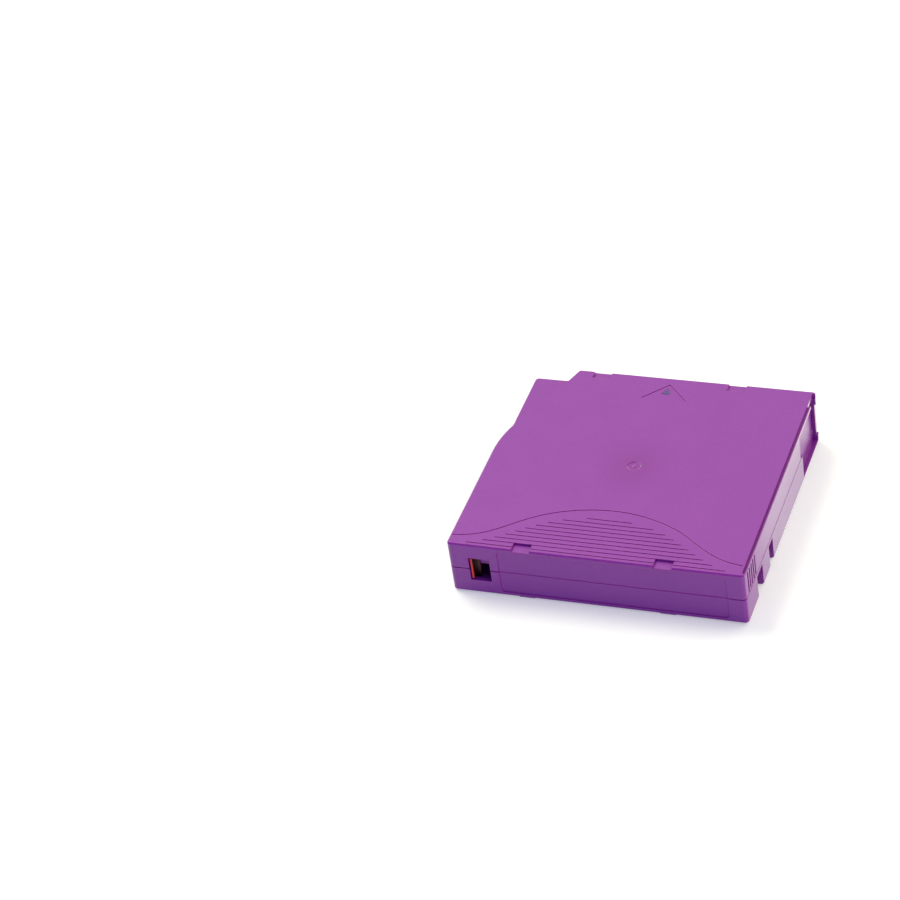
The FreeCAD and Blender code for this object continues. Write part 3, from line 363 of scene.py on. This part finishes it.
casing_finish = moulded_plastic(
    "purple_shell_plastic", PURPLE, PURPLE_EDGE_HIGHLIGHT, PURPLE_GROOVE_SHADE, 0.36,
    Edge_Radius=0.32 * MM, Grain_Scale=2300.0, Mottle=0.17)
door_finish = moulded_plastic(
    "purple_door_plastic", PURPLE, PURPLE_EDGE_HIGHLIGHT, PURPLE_GROOVE_SHADE, 0.3,
    Grain_Depth=0.008 * MM, Mottle=0.03)
glancing_coat(casing_finish, start=0.42, end=0.64, weight=1.0, roughness=0.25, ior=4.2)
glancing_coat(door_finish, start=0.42, end=0.66, weight=0.3, roughness=0.25, ior=4.0)
centre_deepening(casing_finish, srgb(128, 12, 122), start=2.0 * MM, reach=17.0 * MM, strength=0.4)
casing_plastic, door_plastic = casing_finish[0], door_finish[0]
# its painted shade reaches 9 mm and paints the inside of the window near black
slider_plastic, _ = moulded_plastic(
    "red_slider_plastic", srgb(222, 18, 34), srgb(236, 44, 60), srgb(30, 2, 6), 0.35,
    Groove_Reach=9.0 * MM, Groove_Full=0.66, Edge_Radius=0.1 * MM,
    Grain_Depth=0.005 * MM, Mottle=0.03)
reel_plastic, _ = moulded_plastic(
    "reel_plastic", srgb(214, 214, 208), srgb(230, 230, 226), srgb(150, 150, 144), 0.35,
    Edge_Radius=0.12 * MM, Grain_Depth=0.006 * MM, Mottle=0.04)
acetal_plastic, _ = moulded_plastic(
    "brake_acetal", srgb(226, 224, 212), srgb(238, 236, 228), srgb(166, 164, 150), 0.42,
    Edge_Radius=0.1 * MM, Grain_Depth=0.004 * MM, Mottle=0.03)
chip_epoxy, _ = moulded_plastic(
    "chip_epoxy", srgb(30, 30, 32), srgb(46, 46, 48), srgb(20, 20, 22), 0.55,
    Edge_Radius=0.06 * MM, Grain_Depth=0.004 * MM)
board_laminate, _ = moulded_plastic(
    "board_laminate", srgb(28, 92, 56), srgb(150, 140, 90), srgb(18, 60, 38), 0.3,
    Edge_Radius=0.05 * MM, Grain_Depth=0.002 * MM)

give_finish(casing_plastic, "upper_shell", "lower_shell")
give_finish(door_plastic, "access_door")
give_finish(slider_plastic, "write_protect_slider")
give_finish(reel_plastic, "reel_hub", "reel_upper_flange")
give_finish(acetal_plastic, "brake_release_plate", "brake_button", "leader_pin_clip")
give_finish(board_laminate, "memory_board")
give_finish(chip_epoxy, "memory_chip")
print("plastic finishes given")

# %% [markdown]
# ## Steel
# The leader pin and the clutch washer are turned, so their faces carry very fine rings round
# the axis. Springs and screws are drawn or rolled and only look evenly satin. A ring pattern
# that reads the distance from the axis does for the turned ones, through a Bump node.

# %% Steel finishes
WAVE_PERIOD = 0.31         # a Wave texture's ring pitch at scale 1
STEEL_GLOSS_SPREAD = 0.06


def steel(name, roughness, rings_about=None, ring_pitch=0.12 * MM):
    """Satin steel; with rings_about, (x, y), it has turning marks round that axis."""
    material, tree, shader = new_material(name)
    shader.inputs["Metallic"].default_value = 1.0
    place = add_node(tree, "ShaderNodeTexCoord")
    if rings_about:
        centred = add_node(tree, "ShaderNodeMapping", Vector=place.outputs["Object"],
                           Location=(-rings_about[0], -rings_about[1], 0))
        pattern = add_node(tree, "ShaderNodeTexWave",
                           {"wave_type": "RINGS", "rings_direction": "Z"},
                           Vector=centred.outputs["Vector"], Scale=WAVE_PERIOD / ring_pitch,
                           Distortion=1.5, Detail=2.0)
    else:
        pattern = add_node(tree, "ShaderNodeTexNoise", Vector=place.outputs["Object"],
                           Scale=1500.0, Detail=3.0)
    worn = add_node(tree, "ShaderNodeTexNoise", Vector=place.outputs["Object"], Scale=220.0,
                    Detail=4.0)
    colour = add_node(tree, "ShaderNodeMix", {"data_type": "RGBA"},
                      Factor=worn.outputs["Fac"], _6=srgb(176, 177, 180), _7=srgb(206, 206, 208))
    gloss = add_node(tree, "ShaderNodeMapRange", Value=worn.outputs["Fac"], From_Min=0.3,
                     From_Max=0.7, To_Min=roughness - STEEL_GLOSS_SPREAD,
                     To_Max=roughness + STEEL_GLOSS_SPREAD)
    bump = add_node(tree, "ShaderNodeBump", Strength=0.5, Distance=0.004 * MM,
                    Height=pattern.outputs["Fac"])
    tree.links.new(colour.outputs[2], shader.inputs["Base Color"])
    tree.links.new(gloss.outputs["Result"], shader.inputs["Roughness"])
    tree.links.new(bump.outputs["Normal"], shader.inputs["Normal"])
    return material


pin_low, pin_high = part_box("leader_pin")
pin_axis = ((pin_low.x + pin_high.x) / 2, (pin_low.y + pin_high.y) / 2)
pin_steel = steel("turned_pin_steel", 0.22, rings_about=pin_axis, ring_pitch=0.1 * MM)
washer_steel = steel("turned_washer_steel", 0.3, rings_about=(0, 0), ring_pitch=0.2 * MM)
wire_steel = steel("drawn_wire_steel", 0.25)
screw_steel = steel("zinc_screw_steel", 0.34)
give_finish(pin_steel, "leader_pin")
give_finish(washer_steel, "clutch_washer")
give_finish(wire_steel, "pin_retaining_spring")
give_finish(screw_steel, "case_screws")
print("pin axis at", [round(v, 4) for v in pin_axis])

# %% [markdown]
# ## Tape
# Over half a kilometre of tape lies on the reel, so its wound edge is a disc of very fine
# rings, dark and faintly glossy, with a few turns that stand a hair proud of the rest. The
# rings are a pattern of the distance from the reel's axis. The loose end is the same film.

# %% Tape finish


def wound_tape():
    material, tree, shader = new_material("wound_tape")
    place = add_node(tree, "ShaderNodeTexCoord")
    flat = add_node(tree, "ShaderNodeVectorMath", {"operation": "MULTIPLY"},
                    _0=place.outputs["Object"], _1=(1, 1, 0))
    radius = add_node(tree, "ShaderNodeVectorMath", {"operation": "LENGTH"},
                      _0=flat.outputs["Vector"])
    along = add_node(tree, "ShaderNodeCombineXYZ", X=radius.outputs["Value"])
    turns = add_node(tree, "ShaderNodeTexNoise", Vector=along.outputs["Vector"],
                     Scale=5000.0, Detail=2.0)
    bands = add_node(tree, "ShaderNodeTexNoise", Vector=along.outputs["Vector"],
                     Scale=420.0, Detail=3.0)
    colour = add_node(tree, "ShaderNodeMix", {"data_type": "RGBA"},
                      Factor=bands.outputs["Fac"], _6=srgb(38, 33, 31), _7=srgb(66, 57, 52))
    gloss = add_node(tree, "ShaderNodeMapRange", Value=turns.outputs["Fac"],
                     To_Min=0.24, To_Max=0.46)
    bump = add_node(tree, "ShaderNodeBump", Strength=0.6, Distance=0.02 * MM,
                    Height=turns.outputs["Fac"])
    tree.links.new(colour.outputs[2], shader.inputs["Base Color"])
    tree.links.new(gloss.outputs["Result"], shader.inputs["Roughness"])
    tree.links.new(bump.outputs["Normal"], shader.inputs["Normal"])
    return material


give_finish(wound_tape(), "tape_pack", "tape_lead")
print("tape finish given")

# %% [markdown]
# ## The memory's antenna
# On its board the antenna is an etched copper loop under green lacquer. It is on the inside
# of a corner that stays shut, so the engineering model's plain ring keeps its shape and only
# gets a copper finish.

# %% Copper finish


def copper():
    material, tree, shader = new_material("etched_copper")
    shader.inputs["Metallic"].default_value = 1.0
    place = add_node(tree, "ShaderNodeTexCoord")
    tarnish = add_node(tree, "ShaderNodeTexNoise", Vector=place.outputs["Object"],
                       Scale=700.0, Detail=4.0)
    colour = add_node(tree, "ShaderNodeMix", {"data_type": "RGBA"},
                      Factor=tarnish.outputs["Fac"], _6=srgb(150, 86, 50), _7=srgb(206, 132, 84))
    gloss = add_node(tree, "ShaderNodeMapRange", Value=tarnish.outputs["Fac"],
                     To_Min=0.25, To_Max=0.5)
    tree.links.new(colour.outputs[2], shader.inputs["Base Color"])
    tree.links.new(gloss.outputs["Result"], shader.inputs["Roughness"])
    return material


give_finish(copper(), "memory_antenna_coil")
print("copper finish given")

# %% [markdown]
# ## Finishing a piece
# A new piece is made in a bmesh, then becomes an object at the origin with its place in its
# mesh. One helper does that for all of them, with smooth shading where a piece is round.

# %% Piece helper


def finish_piece(name, shape, material, body, smooth=False):
    """Turns a bmesh into an object that rides on a body."""
    bmesh.ops.recalc_face_normals(shape, faces=shape.faces)
    mesh = bpy.data.meshes.new(name)
    shape.to_mesh(mesh)
    shape.free()
    mesh.materials.append(material)
    if smooth:
        mesh.shade_smooth()
    piece = bpy.data.objects.new(name, mesh)
    scene.collection.objects.link(piece)
    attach(piece, body)
    print(name, "has", len(mesh.polygons), "faces")
    return piece


print("pieces to finish after the", len(nodes), "engineering ones")

# %% [markdown]
# ## Springs with round wire
# The engineering springs have square wire and straight runs. A real one is a round wire
# wound on a helix, with its end turns closed up flat. Spinning a small circle about the
# spring's axis, with a step along the axis each time, makes exactly that: the first and the
# last turn take a small step, and the turns between share the rest of the length.

# %% Wound spring helper
WIRE_SEGMENTS = 10
STEPS_PER_TURN = 28
CLOSED_PITCH = 1.05        # a closed end turn's rise, in wire diameters
COIL_GAP = 0.02 * MM       # a hair inside the engineering spring's outline


def wound_spring(name, radius, wire, turns, start, end, node, axis_turn):
    """A coil from start to end along its own axis."""
    length = (end - start).length
    shape = bmesh.new()
    ring = bmesh.ops.create_circle(shape, cap_ends=False, segments=WIRE_SEGMENTS,
                                   radius=wire / 2)["verts"]
    stand = Matrix.Translation((radius, 0, wire / 2)) @ Matrix.Rotation(math.pi / 2, 4, "X")
    bmesh.ops.transform(shape, matrix=stand, verts=ring)
    loop = shape.edges[:]
    end_rise = CLOSED_PITCH * wire
    middle_rise = length - wire - 2 * end_rise
    for rise, count in ((end_rise, 1), (middle_rise, turns - 2), (end_rise, 1)):
        steps = STEPS_PER_TURN * count
        grown = bmesh.ops.spin(
            shape, geom=loop, cent=(0, 0, 0), axis=(0, 0, 1), angle=2 * math.pi * count,
            steps=steps, dvec=(0, 0, rise / steps), use_merge=False, use_duplicate=False)
        loop = [e for e in grown["geom_last"] if isinstance(e, bmesh.types.BMEdge)]
    bmesh.ops.holes_fill(shape, edges=[e for e in shape.edges if e.is_boundary], sides=0)
    bmesh.ops.transform(shape, matrix=Matrix.Translation(start) @ axis_turn, verts=shape.verts)
    piece = finish_piece(name, shape, wire_steel, "root", smooth=True)
    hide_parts(node)
    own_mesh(piece)


# %% [markdown]
# ## The two springs
# The door's spring is long, thin and lies along the wall, and the door's rear end closes it up.
# The brake's spring is short and wide, and stands on the brake button under the top plate.

# %% Door spring and brake spring
low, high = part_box("door_spring")
door_spring_length = high.y - low.y
door_spring_start = Vector(((low.x + high.x) / 2, low.y, (low.z + high.z) / 2))
door_spring_end = door_spring_start + Vector((0, door_spring_length, 0))
DOOR_WIRE = 0.34 * MM
wound_spring(
    "door_coil", radius=(high.x - low.x - DOOR_WIRE) / 2 - COIL_GAP, wire=DOOR_WIRE, turns=22,
    start=door_spring_start, end=door_spring_end,
    node="door_spring", axis_turn=Matrix.Rotation(-math.pi / 2, 4, "X"))

low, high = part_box("brake_spring")
brake_spring_start = Vector((0, 0, low.z))
brake_spring_end = Vector((0, 0, high.z))
BRAKE_WIRE = 0.68 * MM
wound_spring(
    "brake_coil", radius=(high.x - low.x - BRAKE_WIRE) / 2 - COIL_GAP, wire=BRAKE_WIRE, turns=5,
    start=brake_spring_start, end=brake_spring_end,
    node="brake_spring", axis_turn=Matrix.Identity(4))

# %% [markdown]
# ## The write-protect slider
# A fingernail pushes this red slider along its window. It is a plate behind the wall, with a
# narrow nub that stands forward into the window; beside the nub the plate is thinner, so one
# looks past the nub into a gap, dark from its real depth and from the slider's painted shade.
# A cube is cut by planes where the nub and the thin part begin, and then single regions of
# its front are extruded. That keeps it one closed shape.

# %% Write-protect slider
NUB_WIDTH = 0.8 * MM
NUB_FROM_EDGE = 2.45 * MM      # from the plate's right edge to the nub's left side
NUB_END_INSET = 1.55 * MM      # from the plate's lower and upper edges to the nub's ends
PLATE_THICKNESS = 1.6 * MM
THIN_THICKNESS = 0.5 * MM
TAB_EDGE = 0.12 * MM
FRONT_NORMAL = -0.9            # a face looks forward when its normal's Y is below this
SAME_DEPTH = 0.001 * MM
FLAT_ANGLE = 0.01

low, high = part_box("write_protect_slider")
nub_left = high.x - NUB_FROM_EDGE
nub_right = nub_left + NUB_WIDTH
thin_front = high.y - THIN_THICKNESS
shape = bmesh.new()
cube = bmesh.ops.create_cube(shape, size=1.0)
bmesh.ops.scale(shape, verts=cube["verts"],
                vec=(high.x - low.x, THIN_THICKNESS, high.z - low.z))
bmesh.ops.translate(shape, verts=cube["verts"], vec=(
    (low.x + high.x) / 2, high.y - THIN_THICKNESS / 2, (low.z + high.z) / 2))
for place, across in (((nub_left, 0, 0), (1, 0, 0)), ((nub_right, 0, 0), (1, 0, 0)),
                      ((0, 0, low.z + NUB_END_INSET), (0, 0, 1)),
                      ((0, 0, high.z - NUB_END_INSET), (0, 0, 1))):
    bmesh.ops.bisect_plane(shape, geom=shape.verts[:] + shape.edges[:] + shape.faces[:],
                           plane_co=place, plane_no=across)


def grow_front(front_y, chosen, reach):
    """Extrudes the front faces at that depth whose middle passes the test."""
    faces = [f for f in shape.faces if f.normal.y < FRONT_NORMAL
             and abs(f.calc_center_median().y - front_y) < SAME_DEPTH
             and chosen(f.calc_center_median())]
    grown = bmesh.ops.extrude_face_region(shape, geom=faces)
    moved = [v for v in grown["geom"] if isinstance(v, bmesh.types.BMVert)]
    bmesh.ops.translate(shape, vec=(0, -reach, 0), verts=moved)
    bmesh.ops.delete(shape, geom=[f for f in faces if f.is_valid], context="FACES_ONLY")


shape.normal_update()
grow_front(thin_front, lambda c: c.x < nub_right, PLATE_THICKNESS - THIN_THICKNESS)
shape.normal_update()
plate_front = high.y - PLATE_THICKNESS
grow_front(plate_front, lambda c: nub_left < c.x < nub_right
           and low.z + NUB_END_INSET < c.z < high.z - NUB_END_INSET, plate_front - low.y)
shape.normal_update()
bmesh.ops.dissolve_limit(shape, angle_limit=FLAT_ANGLE, verts=shape.verts[:],
                         edges=shape.edges[:])
bmesh.ops.bevel(shape, geom=shape.edges[:], offset=TAB_EDGE, segments=2, profile=0.5,
                affect="EDGES", material=-1)
tab = finish_piece("write_protect_tab", shape, slider_plastic, "write_protect")
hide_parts("write_protect_slider")

# %% [markdown]
# ## The printed arrow
# A small slate-blue triangle is printed inside the moulded chevron, and it points the way
# the cartridge goes in. Ink has a thickness, so it is a thin plate that fills the triangle's
# shallow recess: one triangle, extruded, with its upper edges bevelled a little.

# %% Arrow ink
shell_low, shell_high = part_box("upper_shell")
ARROW_HALF_WIDTH = 1.45 * MM
ARROW_LENGTH = 2.9 * MM
ARROW_TIP_INSET = 6.6 * MM
INK_BELOW = 0.08 * MM
INK_ABOVE = 0.015 * MM
INK_EDGE = 0.02 * MM

ink, tree, shader = new_material("slate_ink")
place = add_node(tree, "ShaderNodeTexCoord")
dots = add_node(tree, "ShaderNodeTexNoise", Vector=place.outputs["Object"], Scale=2600.0,
                Detail=3.0)
shade = add_node(tree, "ShaderNodeMix", {"data_type": "RGBA"}, Factor=dots.outputs["Fac"],
                 _6=srgb(54, 54, 98), _7=srgb(78, 82, 124))
tree.links.new(shade.outputs[2], shader.inputs["Base Color"])
gloss = add_node(tree, "ShaderNodeMapRange", Value=dots.outputs["Fac"], To_Min=0.35,
                 To_Max=0.6)
tree.links.new(gloss.outputs["Result"], shader.inputs["Roughness"])

shape = bmesh.new()
tip_y = shell_high.y - ARROW_TIP_INSET
base_y = tip_y - ARROW_LENGTH
corners = [(-ARROW_HALF_WIDTH, base_y), (ARROW_HALF_WIDTH, base_y), (0, tip_y)]
floor_z = shell_high.z - INK_BELOW
face = shape.faces.new([shape.verts.new((x, y, floor_z)) for x, y in corners])
grown = bmesh.ops.extrude_face_region(shape, geom=[face])
raised = [v for v in grown["geom"] if isinstance(v, bmesh.types.BMVert)]
bmesh.ops.translate(shape, vec=(0, 0, INK_BELOW + INK_ABOVE), verts=raised)
rim = [e for e in shape.edges if all(v in raised for v in e.verts)]
bmesh.ops.bevel(shape, geom=rim, offset=INK_EDGE, segments=2, profile=0.5, affect="EDGES",
                material=-1)
finish_piece("insertion_arrow_ink", shape, ink, "root")

# %% [markdown]
# ## Studio
# The cartridge stands on a white sweep in a light tent. The floor is large enough to run out of
# every view. It is white paint, so it throws light back up at the walls and keeps a soft
# shadow. A little glow, seen only by the camera and in reflections, lifts it to full white.

# %% Floor
FLOOR_HALF = 3.0
FLOOR_PAINT = (0.79, 0.79, 0.68, 1)
FLOOR_GLOW = 0.36
shape = bmesh.new()
bmesh.ops.create_grid(shape, x_segments=1, y_segments=1, size=FLOOR_HALF)
floor_mesh = bpy.data.meshes.new("studio_floor")
shape.to_mesh(floor_mesh)
shape.free()
floor = bpy.data.objects.new("studio_floor", floor_mesh)
scene.collection.objects.link(floor)


def background_rays(tree):
    """Whether a ray is a mirror's, and whether it comes from the camera, a mirror or glass.

    Both are 0 for the light that falls on things.
    """
    rays = add_node(tree, "ShaderNodeLightPath")
    either = add_node(tree, "ShaderNodeMath", {"operation": "MAXIMUM"},
                      _0=rays.outputs["Is Camera Ray"], _1=rays.outputs["Is Glossy Ray"])
    seen = add_node(tree, "ShaderNodeMath", {"operation": "MAXIMUM"},
                    _0=either.outputs["Value"], _1=rays.outputs["Is Transmission Ray"])
    return rays.outputs["Is Glossy Ray"], seen.outputs["Value"]


floor_finish, tree, shader = new_material("studio_white")
shader.inputs["Base Color"].default_value = FLOOR_PAINT
shader.inputs["Roughness"].default_value = 0.9
shader.inputs["Specular IOR Level"].default_value = 0.1
_, seen = background_rays(tree)
glow = add_node(tree, "ShaderNodeMath", {"operation": "MULTIPLY"}, _0=seen, _1=FLOOR_GLOW)
shader.inputs["Emission Color"].default_value = (1, 1, 1, 1)
tree.links.new(glow.outputs["Value"], shader.inputs["Emission Strength"])
floor_mesh.materials.append(floor_finish)
print("floor is", 2 * FLOOR_HALF, "m wide")

# %% [markdown]
# ## The tent and its light
# A light tent has a glowing cloth on every side. The world stands in for it: each side adds
# its own colour and strength of light, strongest straight towards it and nothing on the far
# half, so the sum is smooth. Reflections see a plain white tent that is dim on the camera's
# side, and that dim side is what lets the bevels keep their deep colour.

# %% World
TENT = {
    "ceiling": ((0, 0, 1), (0.12, 0.12, 0.1)),
    "back": ((0, 1, 0), (1.75, 1.8, 1.5)),
    "front": ((0, -1, 0), (0.02, 0.05, 0.68)),
    "left": ((-1, 0, 0), (0.1, 0.12, 0.2)),
    "right": ((1, 0, 0), (1.25, 1.2, 1.3)),
}
MIRROR_DIM = 0.08
MIRROR_BRIGHT = 1.0
world = bpy.data.worlds.new("studio_world")
scene.world = world
world.use_nodes = True
tree = world.node_tree
looking = add_node(tree, "ShaderNodeTexCoord").outputs["Generated"]
light = (0, 0, 0)
for side, color in TENT.values():
    towards = add_node(tree, "ShaderNodeVectorMath", {"operation": "DOT_PRODUCT"},
                       _0=looking, _1=side)
    near_half = add_node(tree, "ShaderNodeMath", {"operation": "MAXIMUM"},
                         _0=towards.outputs["Value"], _1=0.0)
    light = add_node(tree, "ShaderNodeVectorMath", {"operation": "MULTIPLY_ADD"},
                     _0=near_half.outputs["Value"], _1=color, _2=light).outputs["Vector"]
mirror_ray, seen = background_rays(tree)
behind = add_node(tree, "ShaderNodeVectorMath", {"operation": "DOT_PRODUCT"},
                  _0=looking, _1=(0, 1, 0))
bright = add_node(tree, "ShaderNodeMapRange", {"interpolation_type": "SMOOTHSTEP"},
                  Value=behind.outputs["Value"], From_Min=-0.4, From_Max=0.5,
                  To_Min=MIRROR_DIM, To_Max=MIRROR_BRIGHT)
mirrored = add_node(tree, "ShaderNodeMix", {"data_type": "FLOAT"},
                    _0=mirror_ray, _2=1.0, _3=bright.outputs["Result"])
level = add_node(tree, "ShaderNodeMix", {"data_type": "RGBA"},
                 _0=seen, _6=light, _7=mirrored.outputs[0])
tree.links.new(level.outputs[2], tree.nodes["Background"].inputs["Color"])
tree.nodes["Background"].inputs["Strength"].default_value = 1.0
print("tent sides:", list(TENT))

# %% [markdown]
# ## Lamp
# The tent alone would look flat. One large lamp at the left, a little behind, gives the small
# forms a light and a dark side.

# %% Key lamp
KEY_STRENGTH = 1.7
KEY_COLOR = (1.0, 1.0, 0.92)
KEY_SPREAD = math.radians(30)
KEY_FROM = Vector((-0.6, 0.3, 1.0))
lamp_data = bpy.data.lights.new("key_lamp", "SUN")
lamp_data.energy = KEY_STRENGTH
lamp_data.angle = KEY_SPREAD
lamp_data.color = KEY_COLOR
lamp = bpy.data.objects.new("key_lamp", lamp_data)
lamp.matrix_world = KEY_FROM.to_track_quat("Z", "Y").to_matrix().to_4x4()
scene.collection.objects.link(lamp)
print("key lamp strength:", KEY_STRENGTH)

scene.view_settings.view_transform = "Standard"

# %% [markdown]
# ## The end
# The view layer is brought up to date before the frame is closed.

# %% Finish
bpy.context.view_layer.update()
